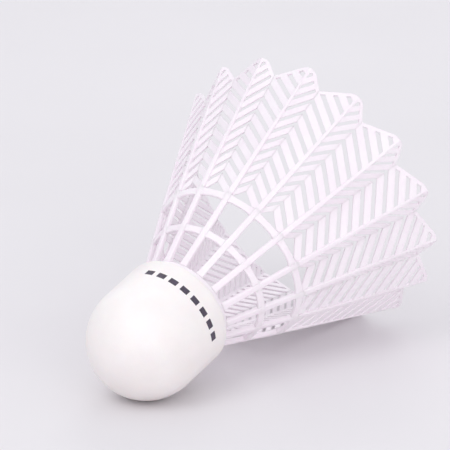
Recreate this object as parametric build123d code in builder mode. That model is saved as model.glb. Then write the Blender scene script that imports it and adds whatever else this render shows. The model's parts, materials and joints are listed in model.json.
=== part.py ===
"""Badminton shuttlecock with a moulded nylon skirt, lying on its side as it comes to rest.

The shuttle rests on its round nose and on the two lowest tips of the skirt. The origin is on
the table under the middle of the part, +Z is up, the nose points to -X and the mouth of the
skirt to +X. Heights are measured along the shuttle's own axis from the centre of the round
nose, positive towards the mouth. Angles turn about that axis, from 0 at the bottom.
"""
from build123d import *
import os
from math import acos, atan, atan2, cos, degrees, hypot, pi, radians, sin, tan

# Head
head_radius = 13.0
head_height = 12.5  # from the centre of the round nose to the flat top
shoulder_radius = 1.5
skin_thickness = 0.5
skin_lip = 0.8  # how far the skin turns in over the top of the cork

# Plug, glued into the cork
cork_wall = 3.85  # around the bore
glue_thickness = 0.15
plug_depth = 7.5
plug_wall = 0.8

# Collar, which sits on the head
collar_step = 1.3  # from the side of the head in to the side of the collar
collar_height = 1.5
collar_edge = 0.4

# Skirt
vane_count = 16
rim_radius = 33.4  # circle through the tips
skirt_height = 49.5  # from the top of the collar to the tips
root_inset = 0.7  # from the side of the collar in to the outside of the stems

# Stems, and the ribs that continue them along the vanes
stem_root_width = 1.55
stem_root_depth = 1.3
stem_top_width = 1.35
stem_top_depth = 1.1
stem_rounding = 0.3
rib_end_width = 0.5
rib_end_depth = 0.46
rib_end_rounding = 0.1
rib_end_gap = 3.5  # from the end of the rib to the tip

# Brace rings, above the collar
lower_brace_rise = 8.5
upper_brace_rise = 17.2
brace_depth = 0.8
brace_width = 1.55
brace_rounding = 0.2

# Vanes
vane_thickness = 0.42
vane_gap = 0.1  # from the upper brace ring to the foot of the vanes
narrow_side_angle = 7.3  # from a shaft to the valley after it
pleat_depth = 1.96  # of the valleys inside the ridges, at the rim
tip_rise = 2.3  # of the tips above the notches between them
tip_flat = 1.5  # from the ridge to the corner of the flat tip
tip_corner_radius = 2.6
rim_border = 0.8
shaft_border = 0.45  # from the ridge to the slots
barb_pitch = 3.06  # along the shaft
barb_thickness = 1.9  # along the shaft
wide_barb_angle = 57.5  # between the shaft and a barb of the wide side
first_barb_drop = 1.1  # how far below the foot the lowest barb's edge would leave the shaft

# Heights and radii that follow
collar_top = head_height + collar_height
collar_radius = head_radius - collar_step
root_radius = collar_radius - root_inset
tip_height = collar_top + skirt_height
lower_brace_height = collar_top + lower_brace_rise
upper_brace_height = collar_top + upper_brace_rise
vane_base_height = upper_brace_height + brace_width / 2 + vane_gap

# The way the shuttle lies
slope = (rim_radius - root_radius) / skirt_height
ridge_angle = atan(slope)
apex_height = tip_height - rim_radius / slope
shaft_step = 360 / vane_count
lowest_tip_drop = rim_radius * cos(pi / vane_count)
lie = acos(head_radius / hypot(lowest_tip_drop, tip_height)) - atan2(tip_height, lowest_tip_drop)
mouth_reach = tip_height * cos(lie) + lowest_tip_drop * sin(lie)
nose_centre = Vector((head_radius - mouth_reach) / 2, 0, head_radius)
along = Vector(cos(lie), 0, sin(lie))
downward = Vector(sin(lie), 0, -cos(lie))
shuttle_axis = Axis(nose_centre, along)


def outward(angle):
    """Unit vector square to the shuttle's axis, at this angle from the bottom."""
    return downward.rotate(Axis((0, 0, 0), along), angle)


def place(radius, height, angle):
    """Point at this radius, height and angle."""
    return nose_centre + along * height + outward(angle) * radius


def section_plane(angle):
    """Plane that holds the axis: local X points outward and local Y towards the mouth."""
    return Plane(nose_centre, x_dir=outward(angle), z_dir=outward(angle).cross(along))


def cross_plane(radius, height, angle):
    """Plane square to the axis, with its origin at this point and local X outward."""
    return Plane(place(radius, height, angle), x_dir=outward(angle), z_dir=along)


def ridge_radius(height):
    """Radius of the outer ridge of a stem's line at this height."""
    return (height - apex_height) * slope


def finish(part, name):
    """Name a piece and write it."""
    part.label = name
    export_step(part, f"parts/{name}.step")


os.makedirs("parts", exist_ok=True)

# ---------------------------------------------------------------------- head
cork_radius = head_radius - skin_thickness
cork_top = head_height - skin_thickness
cork_shoulder = shoulder_radius - skin_thickness
plug_bottom = cork_top - plug_depth
bore_radius = cork_radius - cork_wall
plug_radius = bore_radius - glue_thickness
bore_bottom = plug_bottom - glue_thickness
lip_radius = head_radius - shoulder_radius - skin_lip

with BuildPart() as cork_core:
    with BuildSketch(section_plane(0)):
        with BuildLine():
            Line((0, bore_bottom), (0, -cork_radius))
            RadiusArc((0, -cork_radius), (cork_radius, 0), -cork_radius)
            Line((cork_radius, 0), (cork_radius, cork_top - cork_shoulder))
            RadiusArc(
                (cork_radius, cork_top - cork_shoulder),
                (cork_radius - cork_shoulder, cork_top),
                -cork_shoulder,
            )
            Line((cork_radius - cork_shoulder, cork_top), (bore_radius, cork_top))
            Line((bore_radius, cork_top), (bore_radius, bore_bottom))
            Line((bore_radius, bore_bottom), (0, bore_bottom))
        make_face()
    revolve(axis=shuttle_axis)
finish(cork_core.part, "cork_core")

with BuildPart() as head_skin:
    with BuildSketch(section_plane(0)):
        with BuildLine():
            Line((0, -cork_radius), (0, -head_radius))
            RadiusArc((0, -head_radius), (head_radius, 0), -head_radius)
            Line((head_radius, 0), (head_radius, head_height - shoulder_radius))
            RadiusArc(
                (head_radius, head_height - shoulder_radius),
                (head_radius - shoulder_radius, head_height),
                -shoulder_radius,
            )
            Line((head_radius - shoulder_radius, head_height), (lip_radius, head_height))
            Line((lip_radius, head_height), (lip_radius, cork_top))
            Line((lip_radius, cork_top), (cork_radius - cork_shoulder, cork_top))
            RadiusArc(
                (cork_radius - cork_shoulder, cork_top),
                (cork_radius, cork_top - cork_shoulder),
                cork_shoulder,
            )
            Line((cork_radius, cork_top - cork_shoulder), (cork_radius, 0))
            RadiusArc((cork_radius, 0), (0, -cork_radius), cork_radius)
        make_face()
    revolve(axis=shuttle_axis)
finish(head_skin.part, "head_skin")

with BuildPart() as glue_film:
    with BuildSketch(section_plane(0)):
        with BuildLine():
            Polyline(
                (0, bore_bottom),
                (bore_radius, bore_bottom),
                (bore_radius, cork_top),
                (plug_radius, cork_top),
                (plug_radius, plug_bottom),
                (0, plug_bottom),
                close=True,
            )
        make_face()
    revolve(axis=shuttle_axis)
finish(glue_film.part, "glue_film")

# ---------------------------------------------------------- plug and collar
cup_radius = plug_radius - plug_wall

with BuildPart() as plug_cup:
    with BuildSketch(section_plane(0)):
        with BuildLine():
            Polyline(
                (0, plug_bottom),
                (plug_radius, plug_bottom),
                (plug_radius, cork_top),
                (cup_radius, cork_top),
                (cup_radius, plug_bottom + plug_wall),
                (0, plug_bottom + plug_wall),
                close=True,
            )
        make_face()
    revolve(axis=shuttle_axis)
finish(plug_cup.part, "plug_cup")

with BuildPart() as collar:
    with BuildSketch(section_plane(0)):
        with BuildLine():
            Polyline(
                (cup_radius, cork_top),
                (lip_radius, cork_top),
                (lip_radius, head_height),
                (collar_radius, head_height),
                (collar_radius, collar_top - collar_edge),
                (collar_radius - collar_edge, collar_top),
                (cup_radius, collar_top),
                close=True,
            )
        make_face()
    revolve(axis=shuttle_axis)
finish(collar.part, "collar")

# -------------------------------------------------------------------- stems
shaft_angles = [shaft_step * (number + 0.5) for number in range(vane_count)]
ridge_to_shaft = vane_thickness / 2 / cos(ridge_angle)


def shaft_plane(angle, height):
    """Plane square to the axis, centred on the line of a stem and its rib."""
    return cross_plane(ridge_radius(height) - ridge_to_shaft, height, angle)


stems = []
for number, angle in enumerate(shaft_angles, start=1):
    with BuildPart() as stem:
        with BuildSketch(shaft_plane(angle, collar_top)):
            RectangleRounded(stem_root_depth, stem_root_width, stem_rounding)
        with BuildSketch(shaft_plane(angle, vane_base_height)):
            RectangleRounded(stem_top_depth, stem_top_width, stem_rounding)
        loft()
    finish(stem.part, f"stem_{number:02}")
    stems.append(stem.part)

# -------------------------------------------------------------- brace rings
for name, height in (("lower_brace", lower_brace_height), ("upper_brace", upper_brace_height)):
    brace_radius = ridge_radius(height) - ridge_to_shaft
    with BuildPart() as brace:
        with BuildSketch(section_plane(0)):
            with Locations(Location((brace_radius, height), -degrees(ridge_angle))):
                Rectangle(brace_depth, brace_width)
        revolve(axis=shuttle_axis)
        chamfer(brace.edges().filter_by(GeomType.CIRCLE), brace_rounding)
        for stem_part in stems:
            add(stem_part, mode=Mode.SUBTRACT)
    finish(brace.part, name)

# -------------------------------------------------------------------- vanes
# Each vane is two flat panels that meet in a ridge along the shaft. All ridges and valleys
# point at the apex of the skirt's cone, so each panel has a plane with its origin there. The
# vane is drawn once, with its shaft at the bottom, and turned into its places.
apex = place(0, apex_height, 0)
notch_height = tip_height - tip_rise
notch_radius = ridge_radius(notch_height) - pleat_depth
notch_distance = hypot(notch_radius, notch_height - apex_height)
ridge_start = (vane_base_height - apex_height) / cos(ridge_angle)
ridge_end = (tip_height - apex_height) / cos(ridge_angle)
first_barb = ridge_start - first_barb_drop
mitre_angle = radians(0.4)  # how far a panel runs past its valley before it is cut back
open_angle = radians(3)  # how far the slotted area runs past the valley, so that slots cross it


def panel_side(turn):
    """Plane of the panel between the shaft at 0 and the valley at this turn from it, the side
    of the valley in that plane, and the angle between the two lines."""
    ridge = place(rim_radius, tip_height, 0) - apex
    valley = place(notch_radius, notch_height, turn) - apex
    side = -1 if turn > 0 else 1
    plane = Plane(apex, x_dir=ridge, z_dir=ridge.cross(valley) * side)
    return plane, side, radians(ridge.get_angle(valley))


def polar(distance, angle):
    """Local point of a panel at this distance from the apex and angle from the ridge."""
    return Vector(distance * cos(angle), distance * sin(angle))


def barb_point(start, barb_angle, angle):
    """Where a barb's edge that leaves the ridge at this distance crosses a line at this angle."""
    return polar(start * sin(barb_angle) / sin(barb_angle - angle), angle)


def panel_outline(side, valley_angle, barb_angle, overrun, ridge_overrun=0):
    """Corners of a panel: ridge, flat tip, rim down to the valley and past it, lowest barb."""
    far_angle = valley_angle + overrun
    corner = Vector(ridge_end, tip_flat)
    notch = polar(notch_distance, valley_angle)
    rim = notch - corner
    far = polar(1, far_angle)
    reach = (corner.X * rim.Y - corner.Y * rim.X) / (far.X * rim.Y - far.Y * rim.X)
    lowest = barb_point(first_barb, barb_angle, far_angle)
    foot = Vector(ridge_start, first_barb_drop * tan(barb_angle))
    root, tip = Vector(ridge_start, -ridge_overrun), Vector(ridge_end, -ridge_overrun)
    corners = [root, tip, corner, far * reach, lowest, foot]
    return [(point.X, point.Y * side) for point in corners]


wide_side_angle = shaft_step - narrow_side_angle
wide_barb = radians(wide_barb_angle)
wide_valley = panel_side(-wide_side_angle)[2]
narrow_valley = panel_side(narrow_side_angle)[2]
# Barbs of neighbouring vanes meet at their valley, which settles the narrow side's angle.
climb = sin(wide_barb) / sin(wide_barb - wide_valley)
narrow_barb = atan2(sin(narrow_valley), cos(narrow_valley) - 1 / climb)


def panel(turn, barb_angle):
    """One panel of a vane with the slots between its barbs, cut back at its valley."""
    plane, side, valley_angle = panel_side(turn)
    outline = panel_outline(side, valley_angle, barb_angle, mitre_angle)
    slotted = panel_outline(side, valley_angle, barb_angle, open_angle, rim_border - shaft_border)
    far_angle = valley_angle + mitre_angle
    with BuildPart() as half:
        with BuildSketch(plane) as face:
            Polygon(*outline, align=None)
            tip_corner = face.vertices().sort_by_distance((*outline[2], 0))[0]
            fillet(tip_corner, tip_corner_radius)
        extrude(amount=-vane_thickness)
        with BuildSketch(plane):
            start = first_barb + barb_thickness
            while start < ridge_end:
                stop = start + barb_pitch - barb_thickness
                slot = [
                    Vector(start, 0),
                    barb_point(start, barb_angle, far_angle),
                    barb_point(stop, barb_angle, far_angle),
                    Vector(stop, 0),
                ]
                Polygon(*[(point.X, point.Y * side) for point in slot], align=None)
                start += barb_pitch
            with BuildSketch(Plane.XY, mode=Mode.INTERSECT):
                Polygon(*slotted, align=None)
                offset(amount=-rim_border, kind=Kind.INTERSECTION)
        extrude(amount=-vane_thickness, mode=Mode.SUBTRACT)
        split(bisect_by=section_plane(turn), keep=Keep.TOP if turn > 0 else Keep.BOTTOM)
    return half.part


with BuildPart() as lowest_vane:
    add(panel(-wide_side_angle, wide_barb))
    add(panel(narrow_side_angle, narrow_barb))
    with BuildSketch(shaft_plane(0, vane_base_height)):
        RectangleRounded(stem_top_depth, stem_top_width, stem_rounding)
    with BuildSketch(shaft_plane(0, tip_height - rib_end_gap)):
        RectangleRounded(rib_end_depth, rib_end_width, rib_end_rounding)
    loft()

for number, angle in enumerate(shaft_angles, start=1):
    with BuildPart() as vane:
        add(lowest_vane.part.rotate(shuttle_axis, angle))
    finish(vane.part, f"vane_{number:02}")
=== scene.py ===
"""Looks for the shuttlecock: moulded nylon skirt, skin-covered cork head, studio and camera."""
import json
import math

import bmesh
import bpy
from mathutils import Matrix, Vector


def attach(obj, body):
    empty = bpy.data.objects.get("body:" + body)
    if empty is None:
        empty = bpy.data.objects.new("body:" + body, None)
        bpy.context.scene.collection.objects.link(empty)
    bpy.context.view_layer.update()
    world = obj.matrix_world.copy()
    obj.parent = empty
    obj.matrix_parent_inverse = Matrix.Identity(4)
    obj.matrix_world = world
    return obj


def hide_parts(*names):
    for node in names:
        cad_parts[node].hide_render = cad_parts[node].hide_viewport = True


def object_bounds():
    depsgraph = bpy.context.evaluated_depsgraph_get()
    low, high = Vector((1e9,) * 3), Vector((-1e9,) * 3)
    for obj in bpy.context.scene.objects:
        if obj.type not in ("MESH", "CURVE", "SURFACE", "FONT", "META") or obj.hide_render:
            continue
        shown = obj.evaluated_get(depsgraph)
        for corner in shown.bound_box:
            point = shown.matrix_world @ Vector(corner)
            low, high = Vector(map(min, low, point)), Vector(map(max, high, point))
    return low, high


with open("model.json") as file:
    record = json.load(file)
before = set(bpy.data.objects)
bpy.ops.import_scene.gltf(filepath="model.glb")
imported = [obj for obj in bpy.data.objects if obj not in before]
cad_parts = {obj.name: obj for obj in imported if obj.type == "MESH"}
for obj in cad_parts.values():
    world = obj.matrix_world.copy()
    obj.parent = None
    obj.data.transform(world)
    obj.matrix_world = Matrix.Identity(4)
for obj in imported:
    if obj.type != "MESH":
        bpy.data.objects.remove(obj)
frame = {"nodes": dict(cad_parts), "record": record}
cad_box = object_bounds()

MM = 0.001
VANES = 16
SHAFT_STEP = 360 / VANES
NAMES = frame["nodes"]


# ------------------------------------------------------------------ the shuttle's own axis
band = next(m for m in frame["record"]["mounts"] if m["name"] == "head_band")
ALONG = -Vector(band["axis"]).normalized()
HEAD_RADIUS = band["dims"]["r_mm"] * MM
BAND_LENGTH = band["dims"]["length_mm"] * MM
NOSE_CENTRE = Vector(band["pos_m"]) - ALONG * BAND_LENGTH / 2
DOWN = Vector((ALONG.z, 0, -ALONG.x))
SIDE = Vector((0, 1, 0))
TO_WORLD = Matrix((
    (DOWN.x, SIDE.x, ALONG.x, NOSE_CENTRE.x),
    (DOWN.y, SIDE.y, ALONG.y, NOSE_CENTRE.y),
    (DOWN.z, SIDE.z, ALONG.z, NOSE_CENTRE.z),
    (0, 0, 0, 1),
))
TO_SHUTTLE = TO_WORLD.inverted()


# Plain row of printed dashes near the top of the head
DASH_ARC = (171, 277)  # degrees from the bottom
DASH_PITCH = 3.1 * MM
DASH_LENGTH = 2.0 * MM
DASH_HEIGHT = 7.0 * MM  # along the axis from the centre of the nose
DASH_WIDTH = 1.5 * MM


# ------------------------------------------------------------------ node helpers
class Nodes:
    """Short calls for building one material's node tree."""

    def __init__(self, name):
        self.material = bpy.data.materials.new(name)
        self.material.use_nodes = True
        self.tree = self.material.node_tree
        self.tree.nodes.clear()
        self.output = self.tree.nodes.new("ShaderNodeOutputMaterial")
        self.shader = self.add("ShaderNodeBsdfPrincipled")
        self.link(self.shader.outputs[0], self.output.inputs[0])
        self.place = self.add("ShaderNodeTexCoord").outputs["Object"]

    def add(self, kind, **settings):
        node = self.tree.nodes.new(kind)
        for key, value in settings.items():
            setattr(node, key, value)
        return node

    def link(self, source, target):
        self.tree.links.new(source, target)

    def set(self, **values):
        for key, value in values.items():
            self.shader.inputs[key.replace("_", " ")].default_value = value

    def noise(self, scale, detail=4.0, roughness=0.55, place=None):
        node = self.add("ShaderNodeTexNoise")
        node.inputs["Scale"].default_value = scale
        node.inputs["Detail"].default_value = detail
        node.inputs["Roughness"].default_value = roughness
        self.link(place or self.place, node.inputs["Vector"])
        return node.outputs[0]

    def cells(self, scale, feature="F1", place=None):
        node = self.add("ShaderNodeTexVoronoi", feature=feature)
        node.inputs["Scale"].default_value = scale
        self.link(place or self.place, node.inputs["Vector"])
        return node.outputs["Distance"]

    def ramp(self, value, stops):
        node = self.add("ShaderNodeValToRGB")
        elements = node.color_ramp.elements
        while len(elements) < len(stops):
            elements.new(0.5)
        for element, (at, colour) in zip(elements, stops):
            element.position = at
            element.color = (*colour, 1)
        self.link(value, node.inputs[0])
        return node.outputs[0]

    def spread(self, value, low, high, source=(0, 1)):
        node = self.add("ShaderNodeMapRange")
        for index, number in enumerate((*source, low, high)):
            node.inputs[index + 1].default_value = number
        self.link(value, node.inputs[0])
        return node.outputs[0]

    def maths(self, operation, first, second=0.0):
        node = self.add("ShaderNodeMath", operation=operation)
        for index, value in enumerate((first, second)):
            if isinstance(value, (int, float)):
                node.inputs[index].default_value = value
            else:
                self.link(value, node.inputs[index])
        return node.outputs[0]

    def mix(self, factor, first, second, blend="MIX"):
        node = self.add("ShaderNodeMix", data_type="RGBA", blend_type=blend)
        for socket, value in ((0, factor), (6, first), (7, second)):
            if isinstance(value, (int, float)):
                node.inputs[socket].default_value = value
            elif isinstance(value, tuple):
                node.inputs[socket].default_value = (*value, 1)
            else:
                self.link(value, node.inputs[socket])
        return node.outputs[2]

    def shuttle_coordinates(self):
        """Arc length around the head's radius, and height along the axis, of a point."""
        parts = []
        for direction in (DOWN, SIDE, ALONG):
            node = self.add("ShaderNodeVectorMath", operation="DOT_PRODUCT")
            self.link(self.place, node.inputs[0])
            node.inputs[1].default_value = direction
            start = direction.dot(NOSE_CENTRE)
            parts.append(self.maths("SUBTRACT", node.outputs["Value"], start))
        x, y, height = parts
        return self.maths("MULTIPLY", self.maths("ARCTAN2", y, x), HEAD_RADIUS), height

    def dashes(self, around, height):
        """1 inside a plain row of printed dashes on the upper side of the head."""
        full_turn = 2 * math.pi * HEAD_RADIUS
        first, last = (full_turn * angle / 360 for angle in DASH_ARC)
        turned = self.maths("FLOORED_MODULO", around, full_turn)
        step = self.maths("FLOORED_MODULO", self.maths("SUBTRACT", turned, first), DASH_PITCH)
        level = self.maths("ABSOLUTE", self.maths("SUBTRACT", height, DASH_HEIGHT))
        inside = self.maths("LESS_THAN", step, DASH_LENGTH)
        for test in (
            self.maths("LESS_THAN", level, DASH_WIDTH / 2),
            self.maths("GREATER_THAN", turned, first),
            self.maths("LESS_THAN", turned, last),
        ):
            inside = self.maths("MULTIPLY", inside, test)
        return inside

    def streaks(self, around, height, across, along):
        """Noise drawn out along the shuttle's axis."""
        node = self.add("ShaderNodeCombineXYZ")
        self.link(self.maths("MULTIPLY", around, across), node.inputs[0])
        self.link(self.maths("MULTIPLY", height, along), node.inputs[1])
        return self.noise(1.0, 3, place=node.outputs[0])

    def bump(self, heights, edge=0.0):
        """Chains (height, distance, strength) bumps into the normal, over softened edges."""
        normal = None
        if edge:
            node = self.add("ShaderNodeBevel", samples=6)
            node.inputs["Radius"].default_value = edge
            normal = node.outputs[0]
        for height, distance, strength in heights:
            node = self.add("ShaderNodeBump")
            node.inputs["Strength"].default_value = strength
            node.inputs["Distance"].default_value = distance
            self.link(height, node.inputs["Height"])
            if normal:
                self.link(normal, node.inputs["Normal"])
            normal = node.outputs[0]
        self.link(normal, self.shader.inputs["Normal"])


# ------------------------------------------------------------------ materials
def nylon():
    """Milky injection-moulded nylon: lilac-white, faint flow marks, satin with light scuffs."""
    m = Nodes("nylon")
    around, height = m.shuttle_coordinates()
    cloud = m.noise(90, 3)
    flow = m.streaks(around, height, 260, 45)
    tone = m.maths("ADD", m.maths("MULTIPLY", cloud, 0.6), m.maths("MULTIPLY", flow, 0.4))
    colour = m.ramp(tone, [(0.32, (0.885, 0.80, 0.86)), (0.68, (0.95, 0.88, 0.925))])
    m.link(colour, m.shader.inputs["Base Color"])
    scuffs = m.noise(420, 4)
    m.link(m.spread(scuffs, 0.28, 0.46, (0.3, 0.7)), m.shader.inputs["Roughness"])
    m.bump([
        (m.noise(2600, 3), 0.00001, 0.35),
        (flow, 0.00006, 0.2),
        (m.noise(240, 2), 0.00012, 0.2),
    ], edge=0.12 * MM)
    m.set(Subsurface_Weight=0.35, Subsurface_Scale=0.0012, IOR=1.53)
    m.shader.inputs["Subsurface Radius"].default_value = (1.0, 0.82, 0.95)
    return m.material


def head_leather():
    """White coated skin: fine pores, soft wrinkles that run up to the shoulder, and painted
    shade that greys the skin towards the shoulder.
    """
    m = Nodes("head_leather")
    around, height = m.shuttle_coordinates()
    cloud = m.noise(110, 4)
    pores = m.cells(2100)
    creases = m.streaks(around, height, 420, 60)
    mark = m.dashes(around, height)
    # 0 at 5.5 mm up the axis, 1 at 12 mm: it sets both the painted shade towards the shoulder
    #                                      and where the wrinkles show
    near_top = m.spread(height, 0.0, 1.0, (5.5 * MM, 12.0 * MM))
    colour = m.ramp(cloud, [(0.3, (0.905, 0.85, 0.835)), (0.7, (0.955, 0.905, 0.89))])
    # painted shade: up to a quarter grey-pink mixed into the skin towards the shoulder
    colour = m.mix(m.maths("MULTIPLY", near_top, 0.25), colour, (0.86, 0.82, 0.81))
    ink = m.ramp(m.noise(1600, 2), [(0.35, (0.022, 0.012, 0.035)), (0.7, (0.05, 0.03, 0.07))])
    colour = m.mix(m.maths("MULTIPLY", mark, 0.96), colour, ink)
    m.link(colour, m.shader.inputs["Base Color"])
    m.link(m.spread(m.noise(700, 4), 0.36, 0.55, (0.3, 0.7)), m.shader.inputs["Roughness"])
    m.bump([
        (pores, 0.00003, 0.35),
        (m.noise(900, 3), 0.00003, 0.3),
        (m.maths("MULTIPLY", creases, near_top), 0.00016, 0.4),
        (m.noise(200, 2), 0.00012, 0.2),
    ])
    m.set(Subsurface_Weight=0.1, Subsurface_Scale=0.001, IOR=1.48)
    return m.material


def cork():
    """Composite cork: packed granules of several browns with dark pores between them."""
    m = Nodes("cork")
    grains = m.add("ShaderNodeTexVoronoi", feature="F1")
    grains.inputs["Scale"].default_value = 900
    m.link(m.place, grains.inputs["Vector"])
    tone = m.noise(900, 2, place=grains.outputs["Position"])
    colour = m.ramp(tone, [
        (0.3, (0.16, 0.085, 0.035)), (0.5, (0.42, 0.26, 0.12)), (0.7, (0.62, 0.43, 0.24)),
    ])
    m.link(colour, m.shader.inputs["Base Color"])
    m.link(m.spread(tone, 0.7, 0.9), m.shader.inputs["Roughness"])
    m.bump([(m.cells(900), 0.0002, 0.6)])
    return m.material


def glue():
    """Dried amber-white adhesive."""
    m = Nodes("glue")
    cloud = m.noise(500, 3)
    colour = m.ramp(cloud, [(0.3, (0.60, 0.52, 0.36)), (0.7, (0.74, 0.68, 0.52))])
    m.link(colour, m.shader.inputs["Base Color"])
    m.link(m.spread(cloud, 0.25, 0.45), m.shader.inputs["Roughness"])
    m.bump([(cloud, 0.0001, 0.4)])
    return m.material


def paint(piece, material):
    piece.data.materials.clear()
    piece.data.materials.append(material)


NYLON, LEATHER, CORK, GLUE = nylon(), head_leather(), cork(), glue()


# ------------------------------------------------------------------ sizes read from the CAD
def points_of(node, turn=0.0):
    """A CAD solid's vertices in the shuttle's frame, turned back by this many degrees."""
    back = Matrix.Rotation(math.radians(-turn), 4, "Z") @ TO_SHUTTLE
    return [back @ vertex.co for vertex in NAMES[node].data.vertices]


def limits(values):
    values = list(values)
    return min(values), max(values)


def near(points, height, reach=0.02 * MM):
    return [point for point in points if abs(point.z - height) < reach]


def radius_of(point):
    return math.hypot(point.x, point.y)


# ------------------------------------------------------------------ mesh building
def add_piece(mesh, node, material):
    """Turns a bmesh in the shuttle's frame into the piece that stands for a CAD solid."""
    bmesh.ops.recalc_face_normals(mesh, faces=mesh.faces)
    for face in mesh.faces:
        face.smooth = True
    for edge in mesh.edges:
        edge.smooth = edge.calc_face_angle(0) < math.radians(40)
    mesh.transform(TO_WORLD)
    data = bpy.data.meshes.new(node + "_finished")
    mesh.to_mesh(data)
    mesh.free()
    piece = bpy.data.objects.new(node + "_finished", data)
    bpy.context.scene.collection.objects.link(piece)
    paint(piece, material)
    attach(piece, "root")
    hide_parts(node)


def arc(centre, radius, start, stop, steps):
    """Points of an arc, angles in degrees."""
    points = []
    for step in range(steps + 1):
        angle = math.radians(start + (stop - start) * step / steps)
        points.append((
            centre[0] + radius * math.cos(angle), centre[1] + radius * math.sin(angle),
        ))
    return points


def lathe(profile, turns, shape=None):
    """Revolves (radius, height) points; a closed profile, or one with both ends on the axis."""
    mesh = bmesh.new()
    on_axis = [abs(radius) < 1e-9 for radius, height in profile]
    poles = {
        index: mesh.verts.new((0, 0, profile[index][1]))
        for index, on in enumerate(on_axis) if on
    }
    rings = []
    for turn in range(turns):
        angle = 2 * math.pi * turn / turns
        ring = []
        for index, (radius, height) in enumerate(profile):
            if index in poles:
                ring.append(poles[index])
                continue
            grown = radius + (shape(radius, height, angle) if shape else 0)
            point = (grown * math.cos(angle), grown * math.sin(angle), height)
            ring.append(mesh.verts.new(point))
        rings.append(ring)
    count = len(profile) - (1 if poles else 0)
    for here, there in zip(rings, rings[1:] + rings[:1]):
        for index in range(count):
            after = (index + 1) % len(profile)
            corners = [here[index], here[after], there[after], there[index]]
            mesh.faces.new(list(dict.fromkeys(corners)))
    return mesh


def rounded_section(depth, width, radius, steps=4):
    """Outline of a rounded rectangle: depth outward, width around."""
    x, y = depth / 2 - radius, width / 2 - radius
    outline = []
    for corner, (sx, sy) in enumerate(((1, 1), (-1, 1), (-1, -1), (1, -1))):
        outline += arc((sx * x, sy * y), radius, 90 * corner, 90 * corner + 90, steps)
    return outline


def skin(mesh, rings, closed):
    """Quads between neighbouring rings of points; closed joins the last to the first."""
    made = [[mesh.verts.new(point) for point in ring] for ring in rings]
    pairs = list(zip(made, made[1:])) + ([(made[-1], made[0])] if closed else [])
    for here, there in pairs:
        for index in range(len(here)):
            after = (index + 1) % len(here)
            mesh.faces.new((here[index], here[after], there[after], there[index]))
    if not closed:
        mesh.faces.new(made[0])
        mesh.faces.new(made[-1])


# ------------------------------------------------------------------ the skirt moulding
STEM_TURN = SHAFT_STEP / 2
STEM_ROUNDING = 0.34 * MM
BRACE_ROUNDING = 0.24 * MM
FLARE = 0.22 * MM  # how much a stem swells into the collar and a brace into a stem
FLARE_REACH = 0.55 * MM
stem_points = points_of("stem_01", STEM_TURN)
stem_low, stem_high = limits(point.z for point in stem_points)


def stem_end(height):
    """Centre radius, depth and width of the stem's end at this height."""
    ends = near(stem_points, height)
    inner, outer = limits(point.x for point in ends)
    left, right = limits(point.y for point in ends)
    return (inner + outer) / 2, outer - inner, right - left


STEM_FOOT, STEM_HEAD = stem_end(stem_low), stem_end(stem_high)
LEAN = math.atan((STEM_HEAD[0] - STEM_FOOT[0]) / (stem_high - stem_low))


def brace_sizes(node):
    """Centre (radius, height), depth and width of a brace ring's tilted section."""
    flat = [(radius_of(point), point.z) for point in points_of(node)]
    outward = [r * math.cos(LEAN) - h * math.sin(LEAN) for r, h in flat]
    upward = [r * math.sin(LEAN) + h * math.cos(LEAN) for r, h in flat]
    (inner, outer), (low, high) = limits(outward), limits(upward)
    out, up = (inner + outer) / 2, (low + high) / 2
    centre = (out * math.cos(LEAN) + up * math.sin(LEAN),
              up * math.cos(LEAN) - out * math.sin(LEAN))
    return centre, outer - inner, high - low


BRACES = {node: brace_sizes(node) for node in ("lower_brace", "upper_brace")}


def stems():
    """Tapering stems that swell where they meet the collar and the braces."""
    steps = 44
    for number in range(1, VANES + 1):
        turn = Matrix.Rotation(math.radians(SHAFT_STEP * (number - 0.5)), 4, "Z")
        rings = []
        for step in range(steps + 1):
            along = (step / steps) ** 1.25  # closer together at the collar
            height = stem_low + (stem_high - stem_low) * along
            centre, depth, width = (
                foot + (head - foot) * along for foot, head in zip(STEM_FOOT, STEM_HEAD)
            )
            swell = FLARE * math.exp(-(height - stem_low) / FLARE_REACH)
            for (_, level), _, tall in BRACES.values():
                swell += 0.5 * FLARE * math.exp(-((height - level) / (tall / 2)) ** 2)
            outline = rounded_section(depth + swell, width + 2 * swell, STEM_ROUNDING)
            rings.append([turn @ Vector((centre + x, y, height)) for x, y in outline])
        mesh = bmesh.new()
        skin(mesh, rings, closed=False)
        add_piece(mesh, f"stem_{number:02}", NYLON)


def braces():
    """Rounded rings that swell into each stem."""
    steps = VANES * 20
    for node, ((radius, height), depth, width) in BRACES.items():
        rings = []
        for step in range(steps):
            angle = 360 * step / steps
            from_stem = abs((angle - STEM_TURN + SHAFT_STEP / 2) % SHAFT_STEP - SHAFT_STEP / 2)
            gap = max(0.0, math.radians(from_stem) * radius - STEM_HEAD[2] / 2)
            swell = FLARE * math.exp(-gap / FLARE_REACH)
            turn = Matrix.Rotation(math.radians(angle), 4, "Z")
            outline = rounded_section(depth + 0.4 * swell, width + 2 * swell, BRACE_ROUNDING)
            rings.append([
                turn @ Vector((
                    radius + x * math.cos(LEAN) + y * math.sin(LEAN),
                    0,
                    height + y * math.cos(LEAN) - x * math.sin(LEAN),
                ))
                for x, y in outline
            ])
        mesh = bmesh.new()
        skin(mesh, rings, closed=True)
        add_piece(mesh, node, NYLON)


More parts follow.
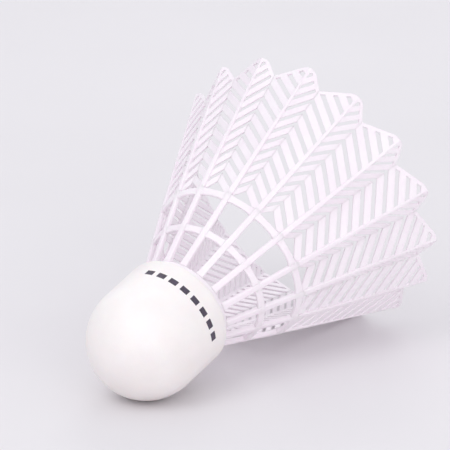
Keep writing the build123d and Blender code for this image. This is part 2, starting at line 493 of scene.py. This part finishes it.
def collar():
    """Flange on the head with a rounded edge and the faint line where the mould halves met."""
    points = points_of("collar")
    low, top = limits(point.z for point in points)
    bore, outer = limits(radius_of(point) for point in points)
    throat = max(radius_of(point) for point in near(points, low))
    seat = min(point.z for point in points if radius_of(point) > outer - 0.01 * MM)
    edge, line, inner_edge = 0.45 * MM, 0.05 * MM, 0.25 * MM
    middle = (seat + top - edge) / 2
    profile = [(bore, low), (throat, low), (throat, seat), (outer - line, seat)]
    profile += [
        (outer - line, middle - 0.12 * MM), (outer, middle - 0.05 * MM),
        (outer, middle + 0.05 * MM), (outer - line, middle + 0.12 * MM),
    ]
    profile += arc((outer - line - edge, top - edge), edge, 0, 90, 6)
    profile += arc((bore + inner_edge, top - inner_edge), inner_edge, 90, 180, 4)
    add_piece(lathe(profile, 160), "collar", NYLON)


# ------------------------------------------------------------------ the head
def head():
    """White skin drawn over the cork: a fine shell with soft puckers under its shoulder."""
    points = points_of("head_skin")
    top = max(point.z for point in points)
    lip = min(radius_of(point) for point in near(points, top))
    cork_points = points_of("cork_core")
    cork_radius = max(radius_of(point) for point in cork_points)
    inside_top = max(point.z for point in cork_points)
    skin_thickness = HEAD_RADIUS - cork_radius
    shoulder = HEAD_RADIUS - max(radius_of(point) for point in near(points, top))
    outer = arc((0, 0), HEAD_RADIUS, -90, 0, 48)
    side = top - shoulder
    outer += [(HEAD_RADIUS, side * step / 14) for step in range(1, 14)]
    outer += arc((HEAD_RADIUS - shoulder, side), shoulder, 0, 90, 12)
    inner_shoulder = shoulder - skin_thickness
    inner = [(lip, top), (lip, inside_top)]
    inner += arc((cork_radius - inner_shoulder, inside_top - inner_shoulder),
                 inner_shoulder, 90, 0, 6)
    inner += arc((0, 0), cork_radius, 0, -90, 24)
    outer[0], inner[-1] = (0, -HEAD_RADIUS), (0, -cork_radius)

    def pucker(radius, height, angle):
        if radius < cork_radius + 0.01 * MM and height < side:
            return 0
        rise = max(0.0, min(1.0, (height - 0.45 * top) / (0.5 * top)))
        waves = (
            math.sin(37 * angle + 900 * height) + 0.7 * math.sin(53 * angle + 1.3)
            + 0.6 * math.sin(23 * angle - 700 * height + 0.4)
        )
        return -0.012 * MM * rise * rise * (2.3 + waves)

    add_piece(lathe(outer + inner, 224, pucker), "head_skin", LEATHER)


def core():
    """The cork under the skin, with the bore for the plug and a chamfer at its mouth."""
    points = points_of("cork_core")
    top = max(point.z for point in points)
    radius = max(radius_of(point) for point in points)
    flat = near(points, top)
    bore = min(radius_of(point) for point in flat)
    shoulder = radius - max(radius_of(point) for point in flat)
    chamfer = 0.15 * MM
    floor_height = min(
        point.z for point in points if bore - 0.01 * MM < radius_of(point) < bore + 0.01 * MM
    )
    profile = arc((0, 0), radius, -90, 0, 28)
    profile += arc((radius - shoulder, top - shoulder), shoulder, 0, 90, 8)
    profile += [(bore + chamfer, top), (bore, top - chamfer), (bore, floor_height)]
    profile.append((0, floor_height))
    profile[0] = (0, -radius)
    add_piece(lathe(profile, 128), "cork_core", CORK)


stems()
braces()
collar()
head()
core()
for number in range(1, VANES + 1):
    paint(NAMES[f"vane_{number:02}"], NYLON)
paint(NAMES["plug_cup"], NYLON)
paint(NAMES["glue_film"], GLUE)


# ------------------------------------------------------------------ studio
def floor():
    """A plain pale sheet under the shuttle that curves up all round, far from it."""
    flat, rise, curve_steps, turns = 2.2, 1.0, 16, 96
    profile = [(0.4, 0.0), (flat, 0.0)]
    for step in range(1, curve_steps + 1):
        angle = math.pi / 2 * step / curve_steps
        profile.append((flat + rise * math.sin(angle), rise * (1 - math.cos(angle))))
    mesh = bmesh.new()
    middle = mesh.verts.new((0, 0, 0))
    spokes = []
    for turn in range(turns):
        angle = 2 * math.pi * turn / turns
        spokes.append([
            mesh.verts.new((radius * math.cos(angle), radius * math.sin(angle), up))
            for radius, up in profile
        ])
    for here, there in zip(spokes, spokes[1:] + spokes[:1]):
        mesh.faces.new((middle, here[0], there[0]))
        for index in range(len(profile) - 1):
            mesh.faces.new((here[index], here[index + 1], there[index + 1], there[index]))
    for face in mesh.faces:
        face.smooth = True
    data = bpy.data.meshes.new("floor")
    mesh.to_mesh(data)
    mesh.free()
    piece = bpy.data.objects.new("floor", data)
    bpy.context.scene.collection.objects.link(piece)
    m = Nodes("floor_paper")
    m.link(m.ramp(m.noise(6, 3), [(0.3, (0.755, 0.735, 0.75)), (0.7, (0.785, 0.765, 0.78))]),
           m.shader.inputs["Base Color"])
    m.set(Roughness=0.8)
    paint(piece, m.material)


def area_light(name, place, target, size, power, colour=(1, 1, 1)):
    data = bpy.data.lights.new(name, "AREA")
    data.shape = "DISK"
    data.size = size
    data.energy = power
    data.color = colour
    light = bpy.data.objects.new(name, data)
    light.location = place
    light.rotation_euler = (target - Vector(place)).to_track_quat("-Z", "Y").to_euler()
    bpy.context.scene.collection.objects.link(light)


CAMERA_AZIMUTH = -53.7
CAMERA_ELEVATION = 18.8
CAMERA_DISTANCE = 1.25
FRAMED_WIDTH = 0.098  # how much of the middle of the view the picture takes in
CENTRE = (cad_box[0] + cad_box[1]) / 2


def camera():
    azimuth, elevation = math.radians(CAMERA_AZIMUTH), math.radians(CAMERA_ELEVATION)
    back = Vector((
        math.sin(azimuth) * math.cos(elevation),
        -math.cos(azimuth) * math.cos(elevation),
        math.sin(elevation),
    ))
    data = bpy.data.cameras.new("camera")
    data.lens = data.sensor_width * CAMERA_DISTANCE / FRAMED_WIDTH
    data.clip_end = 20
    view = bpy.data.objects.new("camera", data)
    view.location = CENTRE + back * CAMERA_DISTANCE
    view.rotation_euler = (-back).to_track_quat("-Z", "Y").to_euler()
    bpy.context.scene.collection.objects.link(view)
    bpy.context.scene.camera = view


def lights():
    world = bpy.data.worlds.new("studio")
    world.use_nodes = True
    world.node_tree.nodes["Background"].inputs[0].default_value = (0.95, 0.96, 1.0, 1)
    world.node_tree.nodes["Background"].inputs[1].default_value = 0.92
    bpy.context.scene.world = world
    area_light("key", (-0.9, 0.1, 1.1), CENTRE, 0.8, 3.3)
    area_light("fill", (-0.7, -1.1, 0.4), CENTRE, 0.9, 3.4, (1.0, 0.955, 0.95))
    area_light("rim", (0.9, 0.5, 0.7), CENTRE, 0.6, 1.5)


floor()
lights()
camera()
bpy.context.scene.view_settings.view_transform = "Standard"
